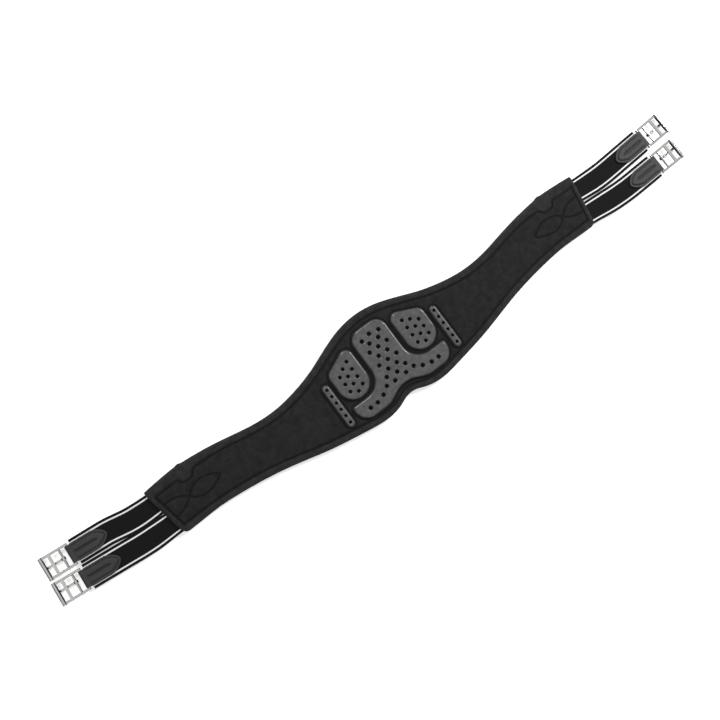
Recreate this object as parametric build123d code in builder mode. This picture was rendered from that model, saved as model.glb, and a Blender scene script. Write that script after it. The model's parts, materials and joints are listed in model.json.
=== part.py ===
from build123d import *
import os
from math import cos, sin, radians

os.makedirs("parts", exist_ok=True)

# An anatomic long girth, lying flat with its horse side up. Millimetres, +Z up.
# +X runs along the girth, +Y to its front edge (the side of the elbows).
# The origin is on the outer face, under the middle of the pad.

# Layers of the pad, as heights above the outer face
SHELL_TOP = 1.4
FOAM_TOP = 11.0
PAD_TOP = 12.5
GEL_TOP = 15.9
BINDING_WALL = 1.5

# Plan of the pad: its front and rear edges on the right half, from the middle to the end,
# and the direction each one has where it reaches the end
FRONT_EDGE = [
    (0, 58.5),
    (50, 49.6),
    (98, 31.3),
    (140, 20),
    (180, 15.3),
    (222, 18.2),
    (285, 30.2),
    (332, 35.6),
    (400.5, 32.5),
]
REAR_EDGE = [
    (0, -84.8),
    (22, -90.9),
    (44, -95.7),
    (90, -91.2),
    (141, -82.2),
    (195, -68.6),
    (255, -56.4),
    (310, -50),
    (387, -50.7),
]
ALONG = (1, 0)
FRONT_EDGE_END = (1, -0.09)
REAR_EDGE_END = (1, -0.03)
FRONT_CORNER_RADIUS = 5
REAR_CORNER_RADIUS = 9

# Plan of the seam that joins the liner to the binding, on the right half
FRONT_SEAM = [
    (0, 46.3),
    (50, 37.6),
    (98, 19.5),
    (140, 8),
    (180, 3.3),
    (222, 6),
    (285, 17),
    (320, 18.5),
    (391, 17),
]
REAR_SEAM = [
    (0, -75.8),
    (22, -81.5),
    (44, -85.8),
    (90, -80.6),
    (141, -71.2),
    (195, -57.2),
    (255, -44.8),
    (310, -39),
    (380.5, -38.5),
]
FRONT_SEAM_END = (1, -0.02)

# Gel massage pieces, which stand on a thin backing and rise through windows in the liner
GEL_EDGE_RADIUS = 2.8
BACKING_THICKNESS = 0.5
BACKING_MARGIN = 4.2
WINDOW_MARGIN = 2
STEM_HALF_WIDTH = 29.5
STEM_FRONT = 36.8
STEM_CORNER_RADIUS = 18
ARM_FRONT = -51.8
ARM_REAR = -79.5
ARM_END = 85.5
ARM_FRONT_RADIUS = 3
ARM_REAR_RADIUS = 21
FLARE_RADIUS = 29
NOTCH_HALF_WIDTH = 45
NOTCH_DEPTH = 12.5
CENTRE_HOLE_RADIUS = 3.4
CENTRE_HOLES_IN_LINE = [(0, 22.4), (0, -0.9), (0, -24.5), (0, -47.7)]
CENTRE_HOLES_IN_PAIRS = [
    (15.5, 19.4),
    (8.2, 10.4),
    (16, -0.7),
    (8.2, -12.6),
    (16, -24.5),
    (8.1, -36.2),
    (17.4, -44.8),
    (10.2, -56.4),
    (25.3, -55.5),
    (37, -62.8),
    (50.8, -66.8),
    (63.9, -66.9),
]
SIDE_GEL_CORNERS = [(37.5, 31.3), (87.5, 8.7), (87.5, -46), (37.5, -46)]
SIDE_GEL_RADII = [11, 12, 24, 25]
SIDE_HOLE_RADIUS = 2.9
SIDE_HOLE_COLUMNS = [(51.9, 9.2, 13.4, 4), (63.1, 3.6, 13.3, 4), (73.7, -3.9, 12.9, 3)]
BAR_X = 100.5
BAR_Y = -36.5
BAR_LENGTH = 73
BAR_WIDTH = 11.5
BAR_HOLE_RADIUS = 2.5
BAR_HOLE_PITCH = 11.6
BAR_HOLE_COUNT = 6

# Webs inside the pad, which carry the pull from end to end
WEB_WIDTH = 32
WEB_THICKNESS = 1.3
FRONT_WEB_PATH = [(378, 10), (330, 8), (180, -13)]
REAR_WEB_PATH = [(378, -27.5), (330, -27.5), (180, -47)]
WEB_BEND_RADIUS = 120

# Folded tabs sewn under the binding near the ends of the front edge
TAB_X = 338.5
TAB_Y = 23.3
TAB_WIDTH = 18
TAB_LENGTH = 19
TAB_THICKNESS = 1.0

# Elastic straps
ELASTIC_WIDTH = 37
ELASTIC_THICKNESS = 2.5
BUCKLE_LEVEL = 5.5

# Chape: the leather that folds round the buckle's heel bar and is sewn to the elastic.
# Lengths along a strap's end are measured outwards from the edge of this fold.
LEATHER = 1.9
CHAPE_GAP = 2.7
CHAPE_WIDTH = 28.5
CHAPE_STRAIGHT = 42
CHAPE_LENGTH = 61.5
CHAPE_SHOULDER = (-53, 9.3)
NECK_WIDTH = 27
NECK_START = -9
ELASTIC_END = -9.5
ELASTIC_END_GAP = 0.3

# Buckle
RUNNING_CLEARANCE = 0.08
BAR_RADIUS = 1.6
ROLLER_BAR_RADIUS = 2.05
ROLLER_RADIUS = 3.1
ROLLER_END_PLAY = 0.4
HEEL_AT = -3.7
TONGUE_BAR_AT = 8.2
CROSS_BAR_AT = 24.2
ROLLER_AT = 37
FRAME_INNER_WIDTH = 28
SIDE_BAR_WIDTH = 3.5
SIDE_BAR_HEIGHT = 3.2
SIDE_BAR_EDGE = 1.0
EAR_PROUD = 0.5
CROSS_BAR_WIDTH = 4.4
CROSS_BAR_BOTTOM = -0.4
CROSS_BAR_TOP = 1.6
KNUCKLE_RADIUS = 3.3
KNUCKLE_WIDTH = 4.6
TONGUE_WIDTH = 3.2
TONGUE_EDGE = 0.6
TONGUE_PROFILE = [
    (8.2, -3.3),
    (33, -5.4),
    (38.6, -5.4),
    (40.2, -4.3),
    (38.9, -3.2),
    (33, -3.2),
    (8.2, -1.9),
]

# Each strap: side of the girth, points along its centre line from inside the pad, the
# directions it starts and ends in, the edge of its leather fold, and where its tongue
# has slid to along its bar
STRAPS = {
    "front_left": {
        "path": [(-345, 9.9), (-410, 10.1), (-440, 12.3), (-480, 19.6)],
        "start": (-1, 0),
        "slope": 5.4,
        "side": -1,
        "fold": (-535.3, 24.8),
        "tongue_shift": 0,
    },
    "rear_left": {
        "path": [(-345, -27.7), (-405, -27.6), (-440, -26.2), (-480, -21.8)],
        "start": (-1, 0),
        "slope": 6.3,
        "side": -1,
        "fold": (-541, -15.1),
        "tongue_shift": -2.6,
    },
    "front_right": {
        "path": [(345, 10.9), (391, 8.6), (440, 5.9), (480, 7.9)],
        "start": (1, -0.03),
        "slope": 3.6,
        "side": 1,
        "fold": (538.3, 11.6),
        "tongue_shift": -0.8,
    },
    "rear_right": {
        "path": [(345, -26.9), (385, -29.9), (440, -35), (480, -35.4)],
        "start": (1, -0.06),
        "slope": 2.3,
        "side": 1,
        "fold": (532.7, -33.3),
        "tongue_shift": 2.4,
    },
}


def outward(strap):
    """Unit direction of a strap's end, away from the pad."""
    return (strap["side"] * cos(radians(strap["slope"])), sin(radians(strap["slope"])), 0)


def end_plane(strap):
    """Plane at the leather fold: x runs outwards, z is up."""
    return Plane(origin=(*strap["fold"], BUCKLE_LEVEL), x_dir=outward(strap), z_dir=(0, 0, 1))


def side_plane(strap):
    """Plane at the leather fold that stands upright along the strap: x outwards, y up."""
    flat = end_plane(strap)
    return Plane(origin=flat.origin, x_dir=flat.x_dir, z_dir=-flat.y_dir)


# ---------------------------------------------------------------- plans of the pad


def plan_of_pad(inset=0):
    """Outline of the pad, or of a layer that stops short of its edge by the inset."""
    front_points = [(x, y - inset) for x, y in FRONT_EDGE[:-1]]
    rear_points = [(x, y + inset) for x, y in REAR_EDGE[:-1]]
    front_points.append((FRONT_EDGE[-1][0] - inset, FRONT_EDGE[-1][1] - inset))
    rear_points.append((REAR_EDGE[-1][0] - inset, REAR_EDGE[-1][1] + inset))
    with BuildSketch() as plan:
        with BuildLine():
            front_edge = Spline(front_points, tangents=[ALONG, FRONT_EDGE_END])
            rear_edge = Spline(rear_points, tangents=[ALONG, REAR_EDGE_END])
            Line(front_edge @ 1, rear_edge @ 1)
            Line(rear_edge @ 0, front_edge @ 0)
        make_face()
        end_corners = vertices().sort_by(Axis.X)[-2:].sort_by(Axis.Y)
        fillet(end_corners[0], radius=REAR_CORNER_RADIUS - inset)
        fillet(end_corners[1], radius=FRONT_CORNER_RADIUS - inset)
        mirror(about=Plane.YZ)
    return plan.sketch


pad_plan = plan_of_pad()
core_plan = plan_of_pad(inset=BINDING_WALL)

with BuildSketch() as seam_plan:
    with BuildLine():
        front_seam = Spline(FRONT_SEAM, tangents=[ALONG, FRONT_SEAM_END])
        rear_seam = Spline(REAR_SEAM, tangents=[ALONG, ALONG])
        Line(front_seam @ 1, rear_seam @ 1)
        Line(rear_seam @ 0, front_seam @ 0)
    make_face()
    mirror(about=Plane.YZ)

# ---------------------------------------------------------------- plans of the gel pieces


def plan_of_centre_gel(margin=0):
    """Stem and two arms of the centre piece, or a plan that reaches past it by the margin."""
    corners = [
        (0, STEM_FRONT + margin),
        (STEM_HALF_WIDTH + margin, STEM_FRONT + margin),
        (STEM_HALF_WIDTH + margin, ARM_FRONT + margin),
        (ARM_END + margin, ARM_FRONT + margin),
        (ARM_END + margin, ARM_REAR - margin),
        (NOTCH_HALF_WIDTH, ARM_REAR - margin),
    ]
    radii = [
        STEM_CORNER_RADIUS + margin,
        FLARE_RADIUS - margin,
        ARM_FRONT_RADIUS + margin,
        ARM_REAR_RADIUS + margin,
    ]
    with BuildSketch() as plan:
        with BuildLine():
            arm = FilletPolyline(corners, radius=radii)
            notch_bottom = (0, ARM_REAR - margin + NOTCH_DEPTH)
            notch = Spline(arm @ 1, notch_bottom, tangents=[(-1, 0), (-1, 0)])
            Line(notch @ 1, arm @ 0)
        make_face()
        mirror(about=Plane.YZ)
    return plan.sketch


centre_gel_plan = plan_of_centre_gel()

with BuildSketch() as side_gel_plan:
    with BuildLine():
        FilletPolyline(SIDE_GEL_CORNERS, radius=SIDE_GEL_RADII, close=True)
    make_face()

with BuildSketch() as bar_gel_plan:
    with Locations((BAR_X, BAR_Y)):
        SlotOverall(BAR_LENGTH, BAR_WIDTH, rotation=90)


def spread_of_gel(margin):
    """All five gel pieces in plan, each one widened by the margin."""
    with BuildSketch() as spread:
        with BuildSketch(mode=Mode.PRIVATE) as outer_pieces:
            add(side_gel_plan.sketch)
            add(bar_gel_plan.sketch)
            offset(amount=margin)
        add(outer_pieces.sketch)
        mirror(outer_pieces.sketch, about=Plane.YZ)
        add(plan_of_centre_gel(margin=margin))
    return spread.sketch


# ---------------------------------------------------------------- straps


def elastic_strap(name, strap):
    """Two-stripe elastic, from its sewn end in the pad to its sewn end in the chape."""
    with BuildPart() as elastic:
        with BuildSketch(Plane.XY.offset(BUCKLE_LEVEL - ELASTIC_THICKNESS / 2)):
            with BuildLine():
                bend = Spline(strap["path"], tangents=[strap["start"], outward(strap)])
                strap_end = end_plane(strap).from_local_coords((ELASTIC_END, 0, 0))
                Line(bend @ 1, (strap_end.X, strap_end.Y))
            trace(line_width=ELASTIC_WIDTH)
        extrude(amount=ELASTIC_THICKNESS)
    elastic.part.label = f"elastic_{name}"
    export_step(elastic.part, f"parts/elastic_{name}.step")
    return elastic.part


def chape(name, strap):
    """Leather folded round the heel bar, its two leaves either side of the elastic."""
    flat = end_plane(strap)
    upright = side_plane(strap)
    half_width = CHAPE_WIDTH / 2
    thickness = CHAPE_GAP + 2 * LEATHER
    with BuildPart() as leather:
        with BuildSketch(flat.offset(-thickness / 2)):
            with BuildLine():
                upper = ThreePointArc((-CHAPE_STRAIGHT, half_width), CHAPE_SHOULDER, (-CHAPE_LENGTH, 0))
                mirror(upper, about=Plane.XZ)
                Line((-CHAPE_STRAIGHT, half_width), (NECK_START, half_width))
                Line((NECK_START, half_width), (NECK_START, -half_width))
                Line((NECK_START, -half_width), (-CHAPE_STRAIGHT, -half_width))
            make_face()
            with Locations(((NECK_START + HEEL_AT) / 2, 0)):
                Rectangle(HEEL_AT - NECK_START, NECK_WIDTH)
        extrude(amount=thickness)
        with BuildSketch(upright):
            with Locations((HEEL_AT, 0)):
                Circle(BAR_RADIUS + RUNNING_CLEARANCE + LEATHER)
        extrude(amount=NECK_WIDTH / 2, both=True)
        with BuildSketch(upright):
            with Locations((HEEL_AT, 0)):
                Circle(BAR_RADIUS + RUNNING_CLEARANCE)
        extrude(amount=NECK_WIDTH / 2, both=True, mode=Mode.SUBTRACT)
        with BuildSketch(flat.offset(-CHAPE_GAP / 2)):
            with Locations((ELASTIC_END + ELASTIC_END_GAP, 0)):
                Rectangle(CHAPE_LENGTH, CHAPE_WIDTH, align=(Align.MAX, Align.CENTER))
        extrude(amount=CHAPE_GAP, mode=Mode.SUBTRACT)
    leather.part.label = f"chape_{name}"
    export_step(leather.part, f"parts/chape_{name}.step")


def buckle_frame(name, strap):
    """Cast frame: two side bars, heel bar, tongue bar, flat cross bar and roller bar."""
    flat = end_plane(strap)
    upright = side_plane(strap)
    half_inner = FRAME_INNER_WIDTH / 2
    side_bar_x = (HEEL_AT + ROLLER_AT) / 2
    side_bar_y = half_inner + SIDE_BAR_WIDTH / 2
    with BuildPart() as frame:
        with BuildSketch(flat.offset(-SIDE_BAR_HEIGHT / 2)):
            with Locations((side_bar_x, side_bar_y), (side_bar_x, -side_bar_y)):
                Rectangle(ROLLER_AT - HEEL_AT, SIDE_BAR_WIDTH)
        extrude(amount=SIDE_BAR_HEIGHT)
        long_edges = edges().filter_by(Axis((0, 0, 0), outward(strap)))
        fillet(long_edges, radius=SIDE_BAR_EDGE)
        with BuildSketch(upright.offset(half_inner), upright.offset(-half_inner - SIDE_BAR_WIDTH)):
            with Locations((HEEL_AT, 0)):
                Circle(SIDE_BAR_HEIGHT / 2)
        extrude(amount=SIDE_BAR_WIDTH)
        ear_width = SIDE_BAR_WIDTH + EAR_PROUD
        with BuildSketch(upright.offset(half_inner), upright.offset(-half_inner - ear_width)):
            with Locations((ROLLER_AT, 0)):
                Circle(ROLLER_RADIUS)
        extrude(amount=ear_width)
        with BuildSketch(upright):
            with Locations((HEEL_AT, 0), (TONGUE_BAR_AT, 0)):
                Circle(BAR_RADIUS)
            with Locations((ROLLER_AT, 0)):
                Circle(ROLLER_BAR_RADIUS)
        extrude(amount=half_inner, both=True)
        with BuildSketch(flat.offset(CROSS_BAR_BOTTOM)):
            with Locations((CROSS_BAR_AT, 0)):
                Rectangle(CROSS_BAR_WIDTH, FRAME_INNER_WIDTH + SIDE_BAR_WIDTH)
        extrude(amount=CROSS_BAR_TOP - CROSS_BAR_BOTTOM)
    frame.part.label = f"buckle_frame_{name}"
    export_step(frame.part, f"parts/buckle_frame_{name}.step")


def roller(name, strap):
    """Tube that turns on the roller bar."""
    upright = side_plane(strap)
    with BuildPart() as tube:
        with BuildSketch(upright):
            with Locations((ROLLER_AT, 0)):
                Circle(ROLLER_RADIUS)
                Circle(ROLLER_BAR_RADIUS + RUNNING_CLEARANCE, mode=Mode.SUBTRACT)
        extrude(amount=FRAME_INNER_WIDTH / 2 - ROLLER_END_PLAY, both=True)
    tube.part.label = f"roller_{name}"
    export_step(tube.part, f"parts/roller_{name}.step")


def tongue(name, strap):
    """Tongue that turns on the tongue bar and rests under the roller."""
    middle = side_plane(strap).offset(-strap["tongue_shift"])
    with BuildPart() as blade:
        with BuildSketch(middle):
            with BuildLine():
                Polyline(TONGUE_PROFILE, close=True)
            make_face()
        extrude(amount=TONGUE_WIDTH / 2, both=True)
        sides = faces().filter_by(Axis((0, 0, 0), middle.z_dir)).edges()
        fillet(sides, radius=TONGUE_EDGE)
        with BuildSketch(middle):
            with Locations((TONGUE_BAR_AT, 0)):
                Circle(KNUCKLE_RADIUS)
        extrude(amount=KNUCKLE_WIDTH / 2, both=True)
        with BuildSketch(middle):
            with Locations((TONGUE_BAR_AT, 0)):
                Circle(BAR_RADIUS + RUNNING_CLEARANCE)
        extrude(amount=KNUCKLE_WIDTH / 2, both=True, mode=Mode.SUBTRACT)
    blade.part.label = f"tongue_{name}"
    export_step(blade.part, f"parts/tongue_{name}.step")


elastics = []
for strap_name, strap_data in STRAPS.items():
    elastics.append(elastic_strap(strap_name, strap_data))
    chape(strap_name, strap_data)
    buckle_frame(strap_name, strap_data)
    roller(strap_name, strap_data)
    tongue(strap_name, strap_data)

# ---------------------------------------------------------------- inside the pad


def load_web(name, right_half):
    """Web sewn to the underside of a left and a right elastic, one flat ribbon."""
    left_half = [(-x, y) for x, y in reversed(right_half)]
    with BuildPart() as web:
        with BuildSketch(Plane.XY.offset(BUCKLE_LEVEL - ELASTIC_THICKNESS / 2 - WEB_THICKNESS)):
            with BuildLine():
                FilletPolyline(right_half + left_half, radius=WEB_BEND_RADIUS)
            trace(line_width=WEB_WIDTH)
        extrude(amount=WEB_THICKNESS)
    web.part.label = name
    export_step(web.part, f"parts/{name}.step")
    return web.part


front_web = load_web("front_load_web", FRONT_WEB_PATH)
rear_web = load_web("rear_load_web", REAR_WEB_PATH)

tabs = []
for tab_name, tab_x in (("edge_tab_left", -TAB_X), ("edge_tab_right", TAB_X)):
    with BuildPart() as tab:
        with BuildSketch(Plane.XY.offset(FOAM_TOP - TAB_THICKNESS)):
            with Locations((tab_x, TAB_Y)):
                Rectangle(TAB_WIDTH, TAB_LENGTH)
        extrude(amount=TAB_THICKNESS)
    tab.part.label = tab_name
    export_step(tab.part, f"parts/{tab_name}.step")
    tabs.append(tab.part)

with BuildPart() as gel_backing:
    with BuildSketch(Plane.XY.offset(FOAM_TOP - BACKING_THICKNESS)):
        add(spread_of_gel(BACKING_MARGIN))
    extrude(amount=BACKING_THICKNESS)
gel_backing.part.label = "gel_backing"
export_step(gel_backing.part, "parts/gel_backing.step")

with BuildPart() as foam_core:
    with BuildSketch(Plane.XY.offset(SHELL_TOP)):
        add(core_plan)
    extrude(amount=FOAM_TOP - SHELL_TOP)
    for inner_piece in (front_web, rear_web, gel_backing.part, *tabs, *elastics):
        add(inner_piece, mode=Mode.SUBTRACT)
foam_core.part.label = "foam_core"
export_step(foam_core.part, "parts/foam_core.step")

# ---------------------------------------------------------------- skins of the pad

with BuildPart() as outer_shell:
    with BuildSketch():
        add(pad_plan)
    extrude(amount=SHELL_TOP)
outer_shell.part.label = "outer_shell"
export_step(outer_shell.part, "parts/outer_shell.step")

with BuildPart() as inner_liner:
    with BuildSketch(Plane.XY.offset(FOAM_TOP)):
        add(seam_plan.sketch)
        add(spread_of_gel(WINDOW_MARGIN), mode=Mode.SUBTRACT)
    extrude(amount=PAD_TOP - FOAM_TOP)
inner_liner.part.label = "inner_liner"
export_step(inner_liner.part, "parts/inner_liner.step")

with BuildPart() as edge_binding:
    with BuildSketch(Plane.XY.offset(SHELL_TOP)):
        add(pad_plan)
        add(core_plan, mode=Mode.SUBTRACT)
    extrude(amount=FOAM_TOP - SHELL_TOP)
    with BuildSketch(Plane.XY.offset(FOAM_TOP)):
        add(pad_plan)
        add(seam_plan.sketch, mode=Mode.SUBTRACT)
    extrude(amount=PAD_TOP - FOAM_TOP)
    for strap_piece in elastics:
        add(strap_piece, mode=Mode.SUBTRACT)
edge_binding.part.label = "edge_binding"
export_step(edge_binding.part, "parts/edge_binding.step")

# ---------------------------------------------------------------- gel pieces


def gel_piece(name, plan, holes, hole_radius, side=1):
    """Perforated gel block with rounded upper edges; side -1 mirrors it to the left."""
    with BuildPart() as gel:
        with BuildSketch(Plane.XY.offset(FOAM_TOP)):
            if side > 0:
                add(plan)
            else:
                mirror(plan, about=Plane.YZ)
        extrude(amount=GEL_TOP - FOAM_TOP)
        fillet(faces().sort_by(Axis.Z)[-1].edges(), radius=GEL_EDGE_RADIUS)
        with BuildSketch(Plane.XY.offset(FOAM_TOP)):
            with Locations([(side * x, y) for x, y in holes]):
                Circle(hole_radius)
        extrude(amount=GEL_TOP - FOAM_TOP, mode=Mode.SUBTRACT)
    gel.part.label = name
    export_step(gel.part, f"parts/{name}.step")


centre_holes = list(CENTRE_HOLES_IN_LINE)
for x, y in CENTRE_HOLES_IN_PAIRS:
    centre_holes += [(-x, y), (x, y)]
gel_piece("gel_centre_pad", centre_gel_plan, centre_holes, CENTRE_HOLE_RADIUS)

side_holes = []
for x, top, pitch, count in SIDE_HOLE_COLUMNS:
    side_holes += [(x, top - pitch * row) for row in range(count)]
lowest_bar_hole = BAR_Y - BAR_HOLE_PITCH * (BAR_HOLE_COUNT - 1) / 2
bar_holes = [(BAR_X, lowest_bar_hole + BAR_HOLE_PITCH * row) for row in range(BAR_HOLE_COUNT)]
for side_name, side in (("left", -1), ("right", 1)):
    gel_piece(f"gel_side_pad_{side_name}", side_gel_plan.sketch, side_holes, SIDE_HOLE_RADIUS, side)
    gel_piece(f"gel_bar_{side_name}", bar_gel_plan.sketch, bar_holes, BAR_HOLE_RADIUS, side)
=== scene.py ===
# %% [markdown]
# # A saddle girth, dressed on its CAD frame
# The object is an anatomic long girth, laid flat with the side that touches the horse facing up. The CAD
# model already holds every piece, size and joint. This lesson loads it as a fixed frame and then makes the
# looks: a sewn and padded body, two-stripe elastics, folded leather chapes and polished buckles.
# Everything is in metres in the CAD's own frame, so nothing has to be fitted afterwards.

import json
import math

import bmesh
import bpy
import numpy as np
from mathutils import Matrix, Vector
from mathutils.bvhtree import BVHTree


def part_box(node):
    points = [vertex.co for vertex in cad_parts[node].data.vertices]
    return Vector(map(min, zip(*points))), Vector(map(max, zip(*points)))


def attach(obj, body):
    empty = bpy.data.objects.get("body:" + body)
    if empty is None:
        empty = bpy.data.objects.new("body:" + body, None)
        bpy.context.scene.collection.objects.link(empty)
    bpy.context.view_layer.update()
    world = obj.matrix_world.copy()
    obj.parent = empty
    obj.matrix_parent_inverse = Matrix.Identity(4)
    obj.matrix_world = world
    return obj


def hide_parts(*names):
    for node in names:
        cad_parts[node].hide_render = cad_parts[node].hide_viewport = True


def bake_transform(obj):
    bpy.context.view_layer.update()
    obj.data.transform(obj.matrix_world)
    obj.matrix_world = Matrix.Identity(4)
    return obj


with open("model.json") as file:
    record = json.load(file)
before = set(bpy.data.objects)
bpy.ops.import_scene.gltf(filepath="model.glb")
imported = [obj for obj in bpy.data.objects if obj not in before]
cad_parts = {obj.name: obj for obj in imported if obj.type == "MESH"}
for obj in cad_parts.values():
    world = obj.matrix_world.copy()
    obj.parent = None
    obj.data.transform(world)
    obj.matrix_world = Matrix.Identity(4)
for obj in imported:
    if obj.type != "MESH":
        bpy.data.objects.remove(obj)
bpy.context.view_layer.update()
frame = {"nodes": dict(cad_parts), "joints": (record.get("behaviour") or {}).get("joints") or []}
nodes = frame["nodes"]
STRAP_NAMES = ("front_left", "rear_left", "front_right", "rear_right")
MM = 0.001

# %% [markdown]
# ## Camera
# The girth is seen from almost straight above, with the camera leaning a little towards its left end and
# turned, so that the girth runs up to the right. A camera in Blender looks along its own -Z axis, so its
# rotation is built from three directions: right, up, and back towards the viewer.

# %% Place the camera
LEAN = math.radians(7.8)
TURN = math.radians(36.8)
CAMERA_DISTANCE = 1.5
AIM_RIGHT = -24.9 * MM
AIM_UP = -19.5 * MM

back = Vector((-math.sin(LEAN), 0, math.cos(LEAN)))
along = Vector((math.cos(LEAN), 0, math.sin(LEAN)))
across = Vector((0, 1, 0))
right = math.cos(TURN) * along - math.sin(TURN) * across
up = math.sin(TURN) * along + math.cos(TURN) * across
aim = AIM_RIGHT * right + AIM_UP * up

camera_data = bpy.data.cameras.new("camera")
camera_data.lens = 50
camera_data.sensor_width = 36
camera = bpy.data.objects.new("camera", camera_data)
bpy.context.scene.collection.objects.link(camera)
camera_turn = Matrix((right, up, back)).transposed().to_4x4()
camera.matrix_world = Matrix.Translation(aim + CAMERA_DISTANCE * back) @ camera_turn
bpy.context.scene.camera = camera
print("camera at", [round(x, 3) for x in camera.location])

# %% [markdown]
# ## Small helpers
# One function turns a hex colour, as a paint chart gives it, into the linear values that Blender works in.
# One function adds a shader node with its settings and the sockets that feed it. The others select, name,
# read and move what is being modelled. Each step starts from a clean selection, because an operator acts on
# all that is selected.

# %% Helpers for colours, nodes and selections
def colour(code):
    """Linear RGBA of an sRGB hex colour."""
    channels = [int(code[k : k + 2], 16) / 255 for k in (1, 3, 5)]
    linear = [c / 12.92 if c <= 0.04045 else ((c + 0.055) / 1.055) ** 2.4 for c in channels]
    return (*linear, 1)


def feed(tree, target, inputs):
    """Give a node's inputs their values, or the sockets that feed them."""
    for name, value in inputs.items():
        if isinstance(value, bpy.types.NodeSocket):
            tree.links.new(value, target.inputs[name])
        else:
            target.inputs[name].default_value = value


def node(tree, kind, inputs=None, **settings):
    """Add a shader node. Settings are its properties, inputs are values or the sockets that feed it."""
    new = tree.nodes.new("ShaderNode" + kind)
    for name, value in settings.items():
        setattr(new, name, value)
    feed(tree, new, inputs or {})
    return new


def start_clean():
    """Object mode, with nothing selected."""
    if bpy.context.object and bpy.context.object.mode != "OBJECT":
        bpy.ops.object.mode_set(mode="OBJECT")
    bpy.ops.object.select_all(action="DESELECT")


def work_on(obj):
    """Make one object the active and only selected one."""
    start_clean()
    obj.select_set(True)
    bpy.context.view_layer.objects.active = obj


def new_piece(name):
    """Name the object that an add operator has just made, and its mesh."""
    obj = bpy.context.object
    obj.name = name
    obj.data.name = name
    return obj


def points_of(obj):
    """Vertex coordinates of a mesh object, as an array."""
    co = np.empty(len(obj.data.vertices) * 3)
    obj.data.vertices.foreach_get("co", co)
    return co.reshape(-1, 3)


def move_points(obj, co):
    """Write vertex coordinates back into a mesh object."""
    obj.data.vertices.foreach_set("co", co.ravel())
    obj.data.update()


def turn_faces_over(obj):
    """Flip every face of a mesh object, so that it points the other way."""
    work_on(obj)
    bpy.ops.object.mode_set(mode="EDIT")
    bpy.ops.mesh.select_all(action="SELECT")
    bpy.ops.mesh.flip_normals()
    bpy.ops.object.mode_set(mode="OBJECT")


def edit_points(obj, chosen):
    """Edit mode on one mesh object, with only the chosen vertices selected."""
    work_on(obj)
    obj.data.polygons.foreach_set("select", [False] * len(obj.data.polygons))
    obj.data.edges.foreach_set("select", [False] * len(obj.data.edges))
    obj.data.vertices.foreach_set("select", chosen)
    bpy.ops.object.mode_set(mode="EDIT")
    bpy.ops.mesh.select_mode(type="VERT")


def add_object(name, data):
    """A new object in the scene, for a mesh or a light."""
    obj = bpy.data.objects.new(name, data)
    bpy.context.scene.collection.objects.link(obj)
    return obj


def run_along(line):
    """How far along a line each of its points is."""
    return np.append(0, np.cumsum(np.linalg.norm(np.diff(line, axis=0), axis=1)))


def ease(value, start, end):
    """A smooth step from 0 at the start to 1 at the end."""
    share = np.clip((value - start) / (end - start), 0, 1)
    return share * share * (3 - 2 * share)


def closed_lines(links):
    """Closed lines through linked points, each as its points in order."""
    neighbours = {}
    for first, second in links:
        neighbours.setdefault(first, []).append(second)
        neighbours.setdefault(second, []).append(first)
    lines = []
    while neighbours:
        line = [next(iter(neighbours))]
        here = neighbours.pop(line[0])[0]
        while here in neighbours:
            line.append(here)
            onward = [point for point in neighbours.pop(here) if point in neighbours]
            here = onward[0] if onward else None
        lines.append(line)
    return lines


def mark_painted_shade(obj, amount):
    """Store how far each vertex is pressed in, from 0 to 1, as the share of painted shade."""
    pressed = obj.data.attributes.new("pressed", "FLOAT", "POINT")
    pressed.data.foreach_set("value", np.clip(amount, 0, 1))


def paint_shade_where_pressed(tree, tint, dark):
    """Painted shade: mix a colour towards a darker one where the surface is pressed in."""
    pressed = node(tree, "Attribute", attribute_name="pressed").outputs["Fac"]
    mixed = node(tree, "Mix", {0: pressed, 6: tint, 7: colour(dark)}, data_type="RGBA")
    return mixed.outputs[2]


# %% [markdown]
# ## Floor and light
# The girth lies on a light table: a white sheet lit from below as well as from above, so that there is
# hardly any shadow. Two small soft panels stand past the right end and past the front edge, and each draws
# a thin bright line along the shoulders of the gel pieces that face it. The dome gives the even light,
# brightest overhead.

# %% Build the studio
FLOOR_SIZE = 12.0
TABLE_GLOW = 0.45

start_clean()
bpy.ops.mesh.primitive_plane_add(size=FLOOR_SIZE, location=(0, 0, -0.2 * MM))
floor = new_piece("studio_floor")
paper = bpy.data.materials.new("light_table")
paper.use_nodes = True
feed(paper.node_tree, paper.node_tree.nodes["Principled BSDF"],
     {"Base Color": colour("#f4f4f4"), "Roughness": 0.9, "Emission Color": (1, 1, 1, 1),
      "Emission Strength": TABLE_GLOW})
floor.data.materials.append(paper)

world = bpy.data.worlds.new("studio_dome")
bpy.context.scene.world = world
world.use_nodes = True
dome = world.node_tree
direction = node(dome, "TexCoord")
height = node(dome, "SeparateXYZ", {0: direction.outputs["Generated"]})
brightness = node(dome, "MapRange", {"Value": height.outputs["Z"], "From Min": -0.05, "From Max": 1,
                                     "To Min": 0.15, "To Max": 0.75})
feed(dome, dome.nodes["Background"], {"Color": (1, 1, 1, 1), "Strength": brightness.outputs[0]})


def soft_panel(name, place, size, power):
    """A square area light that faces the middle of the girth."""
    data = bpy.data.lights.new(name, "AREA")
    data.size = size
    data.energy = power
    panel = add_object(name, data)
    panel.location = place
    panel.rotation_euler = (-Vector(place)).to_track_quat("-Z", "Y").to_euler()
    return panel


soft_panel("right_panel", (2.3, 0.3, 1.7), 0.6, 54)
soft_panel("front_panel", (0.1, 2.0, 1.8), 0.6, 28)
bpy.context.scene.view_settings.view_transform = "Standard"
print("studio ready")

# %% [markdown]
# ## Reading the pad's outlines
# The girth's plan lives in the CAD: the outer shell has the edge of the pad, and the liner has the line of
# the main seam and the five windows that the gel pieces stand in. An outline is where a flat face of the
# node meets an upright wall. The CAD mesh is loose triangles, so the function works on a merged copy.

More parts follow.
